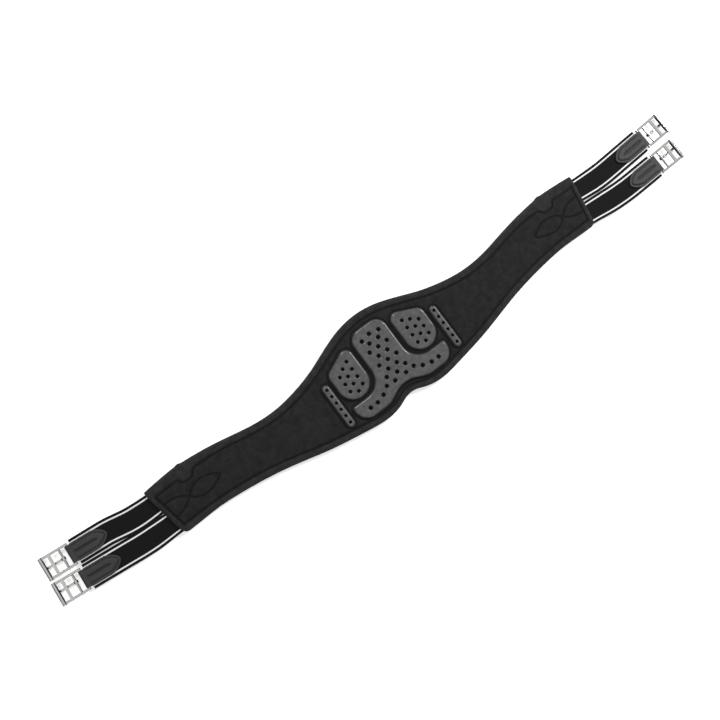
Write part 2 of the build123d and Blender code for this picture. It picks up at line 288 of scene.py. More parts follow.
# %% Outlines of a CAD node
LEVEL_WITHIN = 0.02 * MM


def outlines(node_name, z):
    """Closed outlines of a node's flat face at one height, the longest first, as arrays of x and y."""
    work = bmesh.new()
    work.from_mesh(nodes[node_name].data)
    bmesh.ops.remove_doubles(work, verts=work.verts, dist=1e-6)
    work.normal_update()
    links = []
    for edge in work.edges:
        level = all(abs(vert.co.z - z) < LEVEL_WITHIN for vert in edge.verts)
        flat_faces = [face for face in edge.link_faces if abs(face.normal.z) > 0.9]
        if level and len(flat_faces) == 1:
            links.append(tuple(edge.verts))
    loops = [np.array([vert.co[:2] for vert in line]) for line in closed_lines(links)]
    work.free()
    lengths = [np.linalg.norm(loop - np.roll(loop, 1, axis=0), axis=1).sum() for loop in loops]
    return [loops[k] for k in np.argsort(lengths)[::-1]]


SHELL_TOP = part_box("outer_shell")[1].z
FOAM_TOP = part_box("foam_core")[1].z
pad_edge = outlines("outer_shell", SHELL_TOP)[0]
seam_line, *windows = outlines("inner_liner", FOAM_TOP)
print("pad edge", len(pad_edge), "points; seam", len(seam_line), "points;", len(windows), "windows")

# %% [markdown]
# ## The pad's cover, before it is puffed up
# The real body is a sheet of brushed fabric over foam, sewn to a soft binding that rolls over the edge. The
# cover starts as a flat grid. Its rows are laid along the edges and the seams of the plan, so that a row of
# points runs exactly where the needle went. Columns stand closer together at the folded tabs, where the
# seam dips. The skirt is then extruded down from the rim to the leather shell, ring by ring.

# %% Edges and seams as functions
FRONT_REAR_SPLIT = -15 * MM
TAB_CENTRE = 338.5 * MM
TAB_DIP_HALF_WIDTH = 13.5 * MM
TAB_DIP_DEPTH = 9 * MM
TAB_BUMP = 1.6 * MM
TAB_BUMP_WIDTH = 4 * MM


def part_of(loop, front):
    """The front or the rear part of an outline, from left to right."""
    part = loop[(loop[:, 1] > FRONT_REAR_SPLIT) == front]
    return part[np.argsort(part[:, 0])]


front_edge_part, rear_edge_part = part_of(pad_edge, True), part_of(pad_edge, False)
front_seam_part, rear_seam_part = part_of(seam_line, True), part_of(seam_line, False)


def tab_bump(x):
    """How far the folded tabs push the front edge out."""
    return TAB_BUMP * np.exp(-(((np.abs(x) - TAB_CENTRE) / TAB_BUMP_WIDTH) ** 2))


def tab_dip(x):
    """How far the front seam dips round the folded tabs."""
    from_centre = np.clip(np.abs(np.abs(x) - TAB_CENTRE) / TAB_DIP_HALF_WIDTH, 0, 1)
    return TAB_DIP_DEPTH * (1 - from_centre**4)


def between(place, knots, values):
    """Straight lines between knots, where the values may differ from point to point."""
    result = np.zeros(np.shape(place))
    for k in range(len(knots) - 1):
        share = (place - knots[k]) / (knots[k + 1] - knots[k])
        line = values[k] + share * (values[k + 1] - values[k])
        result = np.where((share >= 0) & (share <= 1), line, result)
    return result


# %% Where rows and columns go
BAND_ROWS, MIDDLE_ROWS = 4, 30
ROWS = 2 * BAND_ROWS + MIDDLE_ROWS
ROW_KNOTS = (0, BAND_ROWS, ROWS - BAND_ROWS, ROWS)
COLUMN_KNOTS = (0, 106, 126, 136, 139)
HALF_COLUMNS = COLUMN_KNOTS[-1]
SEAM_COLUMN = COLUMN_KNOTS[-2]
DENSE_FROM, DENSE_TO = 318 * MM, 358 * MM


def plan_of_grid(column, row):
    """Plan position of each grid point, from its column and row number."""
    across_pad = row / ROWS
    across_liner = np.clip((row - BAND_ROWS) / MIDDLE_ROWS, 0, 1)
    end_x = between(across_pad, (0, 1), (rear_edge_part[-1, 0], front_edge_part[-1, 0]))
    seam_x = between(across_liner, (0, 1), (rear_seam_part[-1, 0], front_seam_part[-1, 0]))
    step = column - HALF_COLUMNS
    x = np.sign(step) * between(np.abs(step), COLUMN_KNOTS, (0, DENSE_FROM, DENSE_TO, seam_x, end_x))
    y = between(
        row,
        ROW_KNOTS,
        (
            np.interp(x, *rear_edge_part.T),
            np.interp(x, *rear_seam_part.T),
            np.interp(x, *front_seam_part.T) - tab_dip(x),
            np.interp(x, *front_edge_part.T) + tab_bump(x),
        ),
    )
    return x, y


print("grid of", 2 * HALF_COLUMNS, "columns and", ROWS, "rows")

# %% [markdown]
# ## Distances to the sewn lines
# Everything that is pressed into the cover, such as the seam, the windows of the gel pieces and the crossed
# channel at each end, is a line in plan. What a point of the cover does depends on how far it is from
# such a line, so these two functions measure that for a whole array of points at once.

# %% Distances and insides
def distance_to(line, points, closed=True):
    """Shortest distance in plan from each point to a line."""
    ends = np.roll(line, -1, axis=0) if closed else line[1:]
    starts = line if closed else line[:-1]
    nearest = np.full(len(points), np.inf)
    for start, end in zip(starts, ends):
        run = end - start
        share = np.clip((points - start) @ run / max(run @ run, 1e-18), 0, 1)
        gap = points - start - share[:, None] * run
        nearest = np.minimum(nearest, np.hypot(gap[:, 0], gap[:, 1]))
    return nearest


def is_inside(loop, points):
    """True for each point that a closed line goes round."""
    found = np.zeros(len(points), bool)
    for start, end in zip(loop, np.roll(loop, -1, axis=0)):
        spans = (start[1] > points[:, 1]) != (end[1] > points[:, 1])
        rise = end[1] - start[1] or 1e-12
        crossing = start[0] + (points[:, 1] - start[1]) / rise * (end[0] - start[0])
        found ^= spans & (points[:, 0] < crossing)
    return found


def outside_windows(points):
    """Signed distance to the nearest window, negative inside it."""
    signed = np.full(len(points), np.inf)
    for window in windows:
        distance = distance_to(window, points)
        signed = np.minimum(signed, np.where(is_inside(window, points), -distance, distance))
    return signed


# %% [markdown]
# ## The crossed channel at each end
# Over the ends of the webs the cover is quilted down with a channel that crosses itself, so that the layers
# can't creep. It runs in from the end seam, crosses, turns round a leaf shape and comes back. A few points
# and a Catmull-Rom curve through them give the line.

# %% Lines of the crossed channels
CHANNEL = [(386, 1.5), (371, 0.5), (359, -4.5), (351, -10.8), (342, -18.5), (328, -22.3), (311, -18.5)]
CHANNEL += [(297, -11), (311, -2), (325, 1), (340, -2.5), (351, -10.8), (360, -17.5), (370, -21.5)]
CHANNEL += [(381, -23)]
CURVE_STEPS = 8


def smooth_line(points):
    """Catmull-Rom curve through the points, as an array."""
    points = np.array(points, float)
    padded = np.vstack([2 * points[0] - points[1], points, 2 * points[-1] - points[-2]])
    share = np.linspace(0, 1, CURVE_STEPS, endpoint=False)[:, None]
    spans = []
    for before, start, end, after in zip(padded, padded[1:], padded[2:], padded[3:]):
        spans.append(
            0.5 * (2 * start + (end - before) * share)
            + 0.5 * (2 * before - 5 * start + 4 * end - after) * share**2
            + 0.5 * (3 * start - 3 * end + after - before) * share**3
        )
    return np.vstack(spans + [points[-1:]])


right_channel = smooth_line(CHANNEL) * MM
channels = [right_channel, right_channel * (-1, 1)]
print("channel", len(right_channel), "points a side")

# %% [markdown]
# ## Sewing and filling the cover
# Cloth simulation puffs the fabric between its seams, as foam does under a sewn skin. Points on a seam, in a
# window or on a channel are pinned where the needle holds them. The others may rise only as far as the
# filling reaches, so their movement is capped before it is kept.

# %% Grid and skirt
SKIRT_RINGS = (7.6 * MM, 4.4 * MM, SHELL_TOP)
SEAM_HEIGHT = FOAM_TOP - 0.2 * MM
RIM_HEIGHT = FOAM_TOP - 1.2 * MM
PLAIN_HEIGHT = FOAM_TOP + 0.7 * MM
LINER, BINDING = 0, 1

start_clean()
bpy.ops.mesh.primitive_grid_add(x_subdivisions=2 * HALF_COLUMNS, y_subdivisions=ROWS, size=1)
cover = new_piece("pad_cover")
for finish in ("liner", "binding"):
    cover.data.materials.append(bpy.data.materials.new(finish))
flat = points_of(cover)
column = np.round((flat[:, 0] + 0.5) * 2 * HALF_COLUMNS)
row = np.round((flat[:, 1] + 0.5) * ROWS)
for face in cover.data.polygons:
    middle_column = abs(np.mean(column[list(face.vertices)]) - HALF_COLUMNS)
    middle_row = np.mean(row[list(face.vertices)])
    in_liner = middle_column < SEAM_COLUMN and BAND_ROWS < middle_row < ROWS - BAND_ROWS
    face.material_index = LINER if in_liner else BINDING
plan = np.stack(plan_of_grid(column, row), axis=1)
on_rim = (row == 0) | (row == ROWS) | (np.abs(column - HALF_COLUMNS) == HALF_COLUMNS)
in_rows = (row >= BAND_ROWS) & (row <= ROWS - BAND_ROWS)
in_columns = np.abs(column - HALF_COLUMNS) <= SEAM_COLUMN
on_seam_row = ((row == BAND_ROWS) | (row == ROWS - BAND_ROWS)) & in_columns
on_seam_column = (np.abs(column - HALF_COLUMNS) == SEAM_COLUMN) & in_rows
on_seam = on_seam_row | on_seam_column
z = np.where(on_rim, RIM_HEIGHT, np.where(on_seam, SEAM_HEIGHT, PLAIN_HEIGHT))
move_points(cover, np.column_stack([plan, z]))

bpy.ops.object.mode_set(mode="EDIT")
bpy.ops.mesh.select_all(action="SELECT")
bpy.ops.mesh.region_to_loop()
for ring in SKIRT_RINGS:
    bpy.ops.mesh.extrude_edges_move()
    mesh = bmesh.from_edit_mesh(cover.data)
    for vert in mesh.verts:
        if vert.select:
            vert.co.z = ring
    for face in mesh.faces:
        if all(vert.co.z < RIM_HEIGHT + 1e-6 for vert in face.verts):
            face.material_index = BINDING
bpy.ops.mesh.select_all(action="SELECT")
bpy.ops.mesh.normals_make_consistent(inside=False)
bpy.ops.object.mode_set(mode="OBJECT")
print("cover", len(cover.data.polygons), "faces")

# %% Puff it up
PRESSURE = 4
FRAMES = 20
RISE_CAP = 1.3 * MM
WINDOW_PIN = 1.5 * MM
CHANNEL_PIN = 1.6 * MM


def puff(obj, held, pressure, cap):
    """Blow up a mesh with Blender's Cloth while some points are held, and keep the capped result."""
    sewn = obj.vertex_groups.new(name="sewn")
    sewn.add([int(k) for k in np.flatnonzero(held)], 1, "REPLACE")
    cloth = obj.modifiers.new("filling", "CLOTH")
    cloth.settings.vertex_group_mass = sewn.name
    cloth.settings.use_pressure = True
    cloth.settings.uniform_pressure_force = pressure
    cloth.settings.effector_weights.gravity = 0
    before = points_of(obj)
    for frame_number in range(1, FRAMES + 1):
        bpy.context.scene.frame_set(frame_number)
    shown = obj.evaluated_get(bpy.context.evaluated_depsgraph_get()).data
    after = np.array([vert.co[:] for vert in shown.vertices])
    move = after - before
    length = np.linalg.norm(move, axis=1, keepdims=True)
    print("largest movement", round(float(length.max()) / MM, 2), "mm, capped at", cap / MM)
    obj.modifiers.remove(cloth)
    obj.vertex_groups.remove(sewn)
    move_points(obj, before + move * np.minimum(1, cap / np.maximum(length, 1e-9)))
    bpy.context.scene.frame_set(1)


start = points_of(cover)
from_windows = outside_windows(start[:, :2])
from_channels = np.minimum(*[distance_to(line, start[:, :2], closed=False) for line in channels])
held = np.zeros(len(start), bool)
held[: len(on_seam)] = on_seam
held |= start[:, 2] < SHELL_TOP + 1e-6
held |= (from_windows < WINDOW_PIN) | (from_channels < CHANNEL_PIN)
puff(cover, held, PRESSURE, RISE_CAP)

# %% [markdown]
# ## Fine detail in the cover
# The sewn cover now gets finer faces, once all over and once more along the sewn lines. Then the lines are
# pressed in: a narrow groove at the seam and the channels, and a rounded lip where the cover ends at the
# window of each gel piece. Faces well under a gel piece are cut away, as the real windows are.

# %% Finer faces along the sewn lines
FINE_REACH = 2.2 * MM


def modifier_done(obj, kind, **settings):
    """Add a modifier with its settings and apply it."""
    work_on(obj)
    modifier = obj.modifiers.new(kind.lower(), kind)
    for name, value in settings.items():
        setattr(modifier, name, value)
    bpy.ops.object.modifier_apply(modifier=modifier.name)


def seam_edges(obj):
    """Edges between the liner and the binding, as pairs of vertex numbers."""
    finishes = {}
    for face in obj.data.polygons:
        for key in face.edge_keys:
            finishes.setdefault(key, set()).add(face.material_index)
    return [key for key, found in finishes.items() if len(found) == 2]


modifier_done(cover, "SUBSURF", levels=1, render_levels=1)
co = points_of(cover)
sewn_seam = co[closed_lines(seam_edges(cover))[0]][::2]
near_line = distance_to(sewn_seam[:, :2], co[:, :2])
for line in channels:
    near_line = np.minimum(near_line, distance_to(line, co[:, :2], closed=False))
near_line = np.minimum(near_line, np.abs(outside_windows(co[:, :2])))
edit_points(cover, (near_line < FINE_REACH) & (co[:, 2] > RIM_HEIGHT))
bpy.ops.mesh.select_mode(type="FACE")
bpy.ops.mesh.subdivide(number_cuts=1, smoothness=0)
bpy.ops.object.mode_set(mode="OBJECT")
print("cover", len(cover.data.polygons), "faces")

# %% Press in the lines and cut the windows
GROOVE_DEPTH = 1.15 * MM
GROOVE_WIDTH = 1.25 * MM
CHANNEL_DEPTH = 1.0 * MM
LIP_WIDTH = 1.8 * MM
LIP_FOOT = FOAM_TOP + 0.1 * MM
WINDOW_CUT = -0.4 * MM
PAINTED_SHADE_LIP = 3.0 * MM

co = points_of(cover)
plan = co[:, :2]
on_top = co[:, 2] > SKIRT_RINGS[0]
seam_gap = distance_to(sewn_seam[:, :2], plan)
channel_gap = np.minimum(*[distance_to(line, plan, closed=False) for line in channels])
window_gap = outside_windows(plan)
press = GROOVE_DEPTH * np.exp(-((seam_gap / GROOVE_WIDTH) ** 2))
press = np.maximum(press, CHANNEL_DEPTH * np.exp(-((channel_gap / GROOVE_WIDTH) ** 2)))
co[:, 2] -= np.where(on_top, press, 0)
lip = np.clip(window_gap / LIP_WIDTH, 0, 1)
lip_height = LIP_FOOT + (co[:, 2] - LIP_FOOT) * np.sqrt(1 - (1 - lip) ** 2)
co[:, 2] = np.where(on_top & (window_gap < LIP_WIDTH), lip_height, co[:, 2])
move_points(cover, co)
# Painted shade: the seam groove, the channels and a ring round each window are darkened in the colour.
mark_painted_shade(cover, np.where(on_top, np.maximum(1.5 * press / GROOVE_DEPTH, 1 - window_gap / PAINTED_SHADE_LIP), 0))

edit_points(cover, window_gap < WINDOW_CUT)
bpy.ops.mesh.delete(type="VERT")
bpy.ops.mesh.separate(type="MATERIAL")
bpy.ops.object.mode_set(mode="OBJECT")
pieces = {obj.data.materials[0].name: obj for obj in bpy.context.selected_objects}
pad_liner, pad_binding = pieces["liner"], pieces["binding"]
for piece, name in ((pad_liner, "pad_liner"), (pad_binding, "pad_binding")):
    piece.name = name
    piece.data.name = name
print("liner", len(pad_liner.data.polygons), "faces; binding", len(pad_binding.data.polygons), "faces")

# %% [markdown]
# Both covers get the thickness of their fabric, which turns each open sheet into a closed piece. The
# liner's thickness follows the foam below it: full where the fabric is puffed up and thin at a window's lip.

# %% Thickness of the covers
LINER_THICKNESS = 1.4 * MM
THIN_SHARE = 0.15
BINDING_THICKNESS = 1.2 * MM

co = points_of(pad_liner)
share = np.clip((co[:, 2] - FOAM_TOP) / LINER_THICKNESS, THIN_SHARE, 1)
fullness = pad_liner.vertex_groups.new(name="fullness")
for k, value in enumerate(share):
    fullness.add([k], float(value), "REPLACE")
modifier_done(pad_liner, "SOLIDIFY", thickness=LINER_THICKNESS, offset=-1, vertex_group="fullness")
modifier_done(pad_binding, "SOLIDIFY", thickness=BINDING_THICKNESS, offset=-1)
for piece in (pad_liner, pad_binding):
    piece.vertex_groups.clear()
    work_on(piece)
    bpy.ops.object.shade_smooth_by_angle(angle=math.radians(60))
    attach(piece, "root")
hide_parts("inner_liner", "foam_core")
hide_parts("edge_binding")
for piece in (pad_liner, pad_binding):
    corners = np.array(piece.bound_box)
    print(piece.name, len(piece.data.polygons), "faces, z", corners[:, 2].min(), corners[:, 2].max())

# %% [markdown]
# ## Outer shell
# The side away from the horse is one sheet of leather, cut to the pad's plan and skived at its edge. It is
# the CAD's own outline, so the piece starts as that outline: the upper face of the node is copied, extruded
# down and given a rounded lower edge with a bevel.

# %% Leather shell
SHELL_EDGE = 0.6 * MM

start_clean()
bpy.ops.mesh.primitive_circle_add(vertices=len(pad_edge), radius=1, fill_type="NGON")
pad_shell = new_piece("pad_shell")
ring = points_of(pad_shell)
order = np.argsort(np.arctan2(ring[:, 1], ring[:, 0]))
turning = np.roll(pad_edge, -1, axis=0)
clockwise = np.sum(pad_edge[:, 0] * turning[:, 1] - turning[:, 0] * pad_edge[:, 1]) < 0
edge_path = pad_edge[::-1] if clockwise else pad_edge
ring[order] = np.column_stack([edge_path, np.full(len(edge_path), SHELL_TOP)])
move_points(pad_shell, ring)
bpy.ops.object.mode_set(mode="EDIT")
bpy.ops.mesh.select_all(action="SELECT")
bpy.ops.mesh.extrude_region_move(TRANSFORM_OT_translate={"value": (0, 0, -SHELL_TOP)})
bpy.ops.mesh.bevel(offset=SHELL_EDGE, segments=3, affect="EDGES")
bpy.ops.mesh.select_all(action="SELECT")
bpy.ops.mesh.normals_make_consistent(inside=False)
bpy.ops.object.mode_set(mode="OBJECT")
bpy.ops.object.shade_smooth_by_angle(angle=math.radians(40))
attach(pad_shell, "root")
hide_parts("outer_shell")
print("shell", len(pad_shell.data.polygons), "faces")

# %% [markdown]
# ## Fabrics
# The liner is a brushed polyester knit laminated on foam: matt, nearly black, and a little cloudy, because
# the brushed fibres lie in different directions. The binding is a knitted tape, and its ribs run the length
# of the girth. Real fibres are too fine to show, so they are drawn nearly 1 mm wide. Both cloths get a soft
# sheen at grazing angles, which is what tells cloth from plastic.

# %% Brushed liner and knitted binding
CLOUD_SIZE = 9 * MM
FIBRE_SIZE = 0.9 * MM
RIB_PITCH = 1.3 * MM


def finish_material(material, name):
    """Switch a material to nodes, give it its maker's name and return its tree and shader."""
    material.name = name
    material.use_nodes = True
    return material.node_tree, material.node_tree.nodes["Principled BSDF"]


def brushed_cloth(material, name, dark, light, rib_strength, sheen):
    """Cloudy brushed cloth. Clouds and fibres are noise at two sizes, ribs are a fine wave."""
    tree, shader = finish_material(material, name)
    place = node(tree, "TexCoord").outputs["Object"]
    clouds = node(tree, "TexNoise",
                  {"Vector": place, "Scale": 1 / CLOUD_SIZE, "Detail": 4, "Roughness": 0.65})
    fibres = node(tree, "TexNoise", {"Vector": place, "Scale": 1 / FIBRE_SIZE, "Detail": 3, "Roughness": 0.6})
    rib_scale = 2 * math.pi / RIB_PITCH / 20
    ribs = node(tree, "TexWave", {"Vector": place, "Scale": rib_scale, "Distortion": 0.6, "Detail": 1},
                bands_direction="Y")
    mottle = node(tree, "Math", {0: clouds.outputs["Fac"], 1: 0.6}, operation="MULTIPLY")
    mottle = node(tree, "Math", {0: fibres.outputs["Fac"], 1: 0.4, 2: mottle.outputs[0]},
                  operation="MULTIPLY_ADD")
    spread = node(tree, "MapRange", {"Value": mottle.outputs[0], "From Min": 0.36, "From Max": 0.64})
    tint = node(tree, "Mix", {0: spread.outputs[0], 6: colour(dark), 7: colour(light)}, data_type="RGBA")
    raised = node(tree, "Math", {0: ribs.outputs["Fac"], 1: rib_strength, 2: fibres.outputs["Fac"]},
                  operation="MULTIPLY_ADD")
    bump = node(tree, "Bump", {"Height": raised.outputs[0], "Strength": 0.9, "Distance": 0.35 * MM})
    # Painted shade: the colour goes towards #050505 where the cover is pressed in.
    feed(tree, shader, {"Base Color": paint_shade_where_pressed(tree, tint.outputs[2], "#050505"),
                        "Normal": bump.outputs[0], "Roughness": 0.95, "Specular IOR Level": 0.15,
                        "Sheen Weight": sheen, "Sheen Roughness": 0.5})
    return material


brushed_cloth(pad_liner.data.materials[0], "brushed_polyester", "#161616", "#262626", 0.05, 0.06)
brushed_cloth(pad_binding.data.materials[0], "knitted_binding_tape", "#1b1b1b", "#2f2f2f", 0.45, 0.08)

# %% [markdown]
# ## Leathers
# The shell is cowhide with a pressed, waxed grain, and the chapes are a smoother, firmer bridle leather.
# Grain is a pattern of small cells with creases between them, so both use Voronoi cells, at about 1 mm, for
# the bump. The wax gives a low, wide gloss, and the creases of the grain are darker. Where the leather is
# pressed in, as in a chape's groove and slot, the colour is darkened further, which is painted shade.

# %% Grained leather
GRAIN_SIZE = 1.1 * MM
WAX_PATCH = 14 * MM


def grained_leather(material, name, dark, light, grain, gloss):
    """Pressed-grain leather: creases between Voronoi cells, with cloudy wax."""
    tree, shader = finish_material(material, name)
    place = node(tree, "TexCoord").outputs["Object"]
    warp = node(tree, "TexNoise", {"Vector": place, "Scale": 0.4 / grain, "Detail": 2})
    bent = node(tree, "VectorMath", {0: warp.outputs["Color"], 1: (grain, grain, grain), 2: place},
                operation="MULTIPLY_ADD")
    cells = node(tree, "TexVoronoi", {"Vector": bent.outputs[0], "Scale": 1 / grain},
                 feature="DISTANCE_TO_EDGE")
    crease = node(tree, "MapRange", {"Value": cells.outputs[0], "From Max": 0.16},
                  interpolation_type="SMOOTHSTEP")
    wax = node(tree, "TexNoise", {"Vector": place, "Scale": 1 / WAX_PATCH, "Detail": 5, "Roughness": 0.6})
    tone = node(tree, "Math", {0: crease.outputs[0], 1: wax.outputs["Fac"]}, operation="MULTIPLY")
    tint = node(tree, "Mix", {0: tone.outputs[0], 6: colour(dark), 7: colour(light)}, data_type="RGBA")
    rough = node(tree, "MapRange",
                 {"Value": wax.outputs["Fac"], "To Min": gloss - 0.08, "To Max": gloss + 0.1})
    bump = node(tree, "Bump", {"Height": crease.outputs[0], "Strength": 0.5, "Distance": 0.12 * MM})
    # Painted shade: the colour goes towards #0e0e0e where the leather is pressed in.
    feed(tree, shader, {"Base Color": paint_shade_where_pressed(tree, tint.outputs[2], "#0e0e0e"),
                        "Roughness": rough.outputs[0], "Normal": bump.outputs[0], "Specular IOR Level": 0.45})
    return material


pad_shell.data.materials.append(
    grained_leather(bpy.data.materials.new("shell"), "waxed_cowhide", "#141414", "#2a2a2a", GRAIN_SIZE, 0.5)
)

# %% [markdown]
# ## Gel, rubber, webbing and steel
# These CAD nodes already have their shape, so they only get a finish. The gel is a moulded thermoplastic
# elastomer: a mid grey with a smooth, glossy skin, a little cloudy. Its edges and vents are soft from the
# mould, so a bevel node rounds the shading near every edge. The backing below it is thin matt black rubber.
# The load webs are woven, so two crossing waves stand for their warp and weft. The buckles are polished
# stainless steel, with random scratches that are drawn wider than real ones so that they show.
#
# Polished steel draws dark lines where it mirrors something dark, and this pale studio holds hardly anything
# dark. A darker tint on the steep walls is a painted reflection that stands in for those lines. It follows
# the piece's own normal, so it stays where it is when the buckle turns or the camera moves.

# %% Finishes of the CAD nodes
GEL_CLOUD = 7 * MM
GEL_SPECKLE = 0.8 * MM
MOULD_RADIUS = 2.6 * MM
YARN_PITCH = 1.6 * MM
SCRATCH_WIDTH = 0.15 * MM
CASTING_WAVE = 6 * MM


def dress(material, *node_names):
    """Give CAD nodes one finish."""
    for name in node_names:
        nodes[name].data.materials.clear()
        nodes[name].data.materials.append(material)


gel = bpy.data.materials.new("gel")
tree, shader = finish_material(gel, "moulded_elastomer_gel")
place = node(tree, "TexCoord").outputs["Object"]
clouds = node(tree, "TexNoise", {"Vector": place, "Scale": 1 / GEL_CLOUD, "Detail": 3})
speckle = node(tree, "TexNoise", {"Vector": place, "Scale": 1 / GEL_SPECKLE, "Detail": 2})
mixed = node(tree, "Math", {0: speckle.outputs["Fac"], 1: 0.45, 2: clouds.outputs["Fac"]},
             operation="MULTIPLY_ADD")
spread = node(tree, "MapRange", {"Value": mixed.outputs[0], "From Min": 0.5, "From Max": 0.95})
tint = node(tree, "Mix", {0: spread.outputs[0], 6: colour("#3f3f3f"), 7: colour("#525252")}, data_type="RGBA")
soft_edge = node(tree, "Bevel", {"Radius": MOULD_RADIUS}, samples=8)
skin = node(tree, "Bump", {"Height": speckle.outputs["Fac"], "Strength": 0.25, "Distance": 0.05 * MM,
                           "Normal": soft_edge.outputs[0]})
feed(tree, shader, {"Base Color": tint.outputs[2], "Normal": skin.outputs[0], "Roughness": 0.2, "IOR": 1.5})
dress(gel, "gel_centre_pad", "gel_side_pad_left", "gel_side_pad_right", "gel_bar_left", "gel_bar_right")

rubber = bpy.data.materials.new("rubber")
tree, shader = finish_material(rubber, "thin_black_rubber")
place = node(tree, "TexCoord").outputs["Object"]
bloom = node(tree, "TexNoise", {"Vector": place, "Scale": 1 / GEL_CLOUD, "Detail": 4})
tint = node(tree, "Mix", {0: bloom.outputs["Fac"], 6: colour("#060606"), 7: colour("#101010")},
            data_type="RGBA")
feed(tree, shader, {"Base Color": tint.outputs[2], "Roughness": 0.85})
dress(rubber, "gel_backing")

webbing = bpy.data.materials.new("webbing")
tree, shader = finish_material(webbing, "woven_polyester_webbing")
place = node(tree, "TexCoord").outputs["Object"]
yarn_scale = 2 * math.pi / YARN_PITCH / 20
warp = node(tree, "TexWave", {"Vector": place, "Scale": yarn_scale}, bands_direction="X")
weft = node(tree, "TexWave", {"Vector": place, "Scale": yarn_scale}, bands_direction="Y")
weave = node(tree, "Math", {0: warp.outputs["Fac"], 1: weft.outputs["Fac"]}, operation="MULTIPLY")
tint = node(tree, "Mix", {0: weave.outputs[0], 6: colour("#0f0f0f"), 7: colour("#262626")}, data_type="RGBA")
bump = node(tree, "Bump", {"Height": weave.outputs[0], "Strength": 0.8, "Distance": 0.2 * MM})
feed(tree, shader, {"Base Color": tint.outputs[2], "Normal": bump.outputs[0], "Roughness": 0.8})
dress(webbing, "front_load_web", "rear_load_web", "edge_tab_left", "edge_tab_right")

steel = bpy.data.materials.new("steel")
tree, shader = finish_material(steel, "polished_stainless_steel")
place = node(tree, "TexCoord").outputs["Object"]
stretched = node(tree, "Mapping", {"Vector": place, "Rotation": (0.3, 0.2, 0.7), "Scale": (0.08, 1, 1)})
scratches = node(tree, "TexNoise", {"Vector": stretched.outputs[0], "Scale": 1 / SCRATCH_WIDTH, "Detail": 2})
casting = node(tree, "TexNoise", {"Vector": place, "Scale": 1 / CASTING_WAVE, "Detail": 1})
rough = node(tree, "MapRange", {"Value": scratches.outputs["Fac"], "From Min": 0.35, "From Max": 0.75,
                                "To Min": 0.05, "To Max": 0.14})
waves = node(tree, "Bump", {"Height": casting.outputs["Fac"], "Strength": 0.3, "Distance": 0.2 * MM})
fine = node(tree, "Bump", {"Height": scratches.outputs["Fac"], "Strength": 0.08, "Distance": 0.02 * MM,
                           "Normal": waves.outputs[0]})
# Painted reflection: the steep walls get a near-black base colour, the flat faces a pale one.
facing = node(tree, "SeparateXYZ", {0: node(tree, "TexCoord").outputs["Normal"]})
flatness = node(tree, "Math", {0: facing.outputs["Z"]}, operation="ABSOLUTE")
painted_reflection_share = node(tree, "MapRange", {"Value": flatness.outputs[0], "From Min": 0.72, "From Max": 0.97})
tint = node(tree, "Mix", {0: painted_reflection_share.outputs[0], 6: colour("#1a1a1a"), 7: colour("#d6d5d3")}, data_type="RGBA")
feed(tree, shader, {"Base Color": tint.outputs[2], "Roughness": rough.outputs[0], "Normal": fine.outputs[0],
                    "Metallic": 1})
for name in STRAP_NAMES:
    dress(steel, f"buckle_frame_{name}", f"roller_{name}", f"tongue_{name}")
print(len(bpy.data.materials), "materials")

# %% [markdown]
# ## Elastic straps
# Each strap is a woven elastic tape with two white stripes. It is flat but curves in plan, so the grid that
# it starts from is laid between the two long edges of its CAD node. Its UV map is in millimetres along and
# across the tape, so the stripes and the ribs follow the curve. The CAD tape is a little narrow, so that
# neighbours stay clear of each other, and this one widens once it is out of the pad.

# %% Strap facts from the joints
ELASTIC_COLUMNS, ELASTIC_ROWS = 96, 16
ELASTIC_WALL = 2.1 * MM
SELVEDGE = 0.5 * MM
TAPE_WIDTH = 39.4 * MM
WIDENS_OVER = 30 * MM
EXIT_X = 0.396

joints = {joint["name"]: joint for joint in frame["joints"]}


def strap_end(name):
    """Heel bar centre, outward direction and direction across, for one strap."""
    outward = Vector(joints[f"stretch_{name}"]["axis"])
    heel = Vector(joints[f"buckle_hinge_{name}"]["pos_m"])
    return heel, outward, Vector((0, 0, 1)).cross(outward)


def long_edges(node_name):
    """The two long edges of a flat strap in plan, from the pad outwards, evenly divided."""
    co = np.array([vert.co[:] for vert in nodes[node_name].data.vertices])
    co = np.unique(np.round(co[co[:, 2] > co[:, 2].max() - 0.01 * MM][:, :2], 6), axis=0)
    middle = np.polynomial.Polynomial.fit(co[:, 0], co[:, 1], 4)
    edges = []
    for above in (False, True):
        edge = co[(co[:, 1] > middle(co[:, 0])) == above]
        edge = edge[np.argsort(np.abs(edge[:, 0]))]
        run = run_along(edge)
        stations = np.linspace(0, run[-1], ELASTIC_COLUMNS + 1)
        edges.append(np.column_stack([np.interp(stations, run, edge[:, k]) for k in (0, 1)]))
    return edges, run[-1]


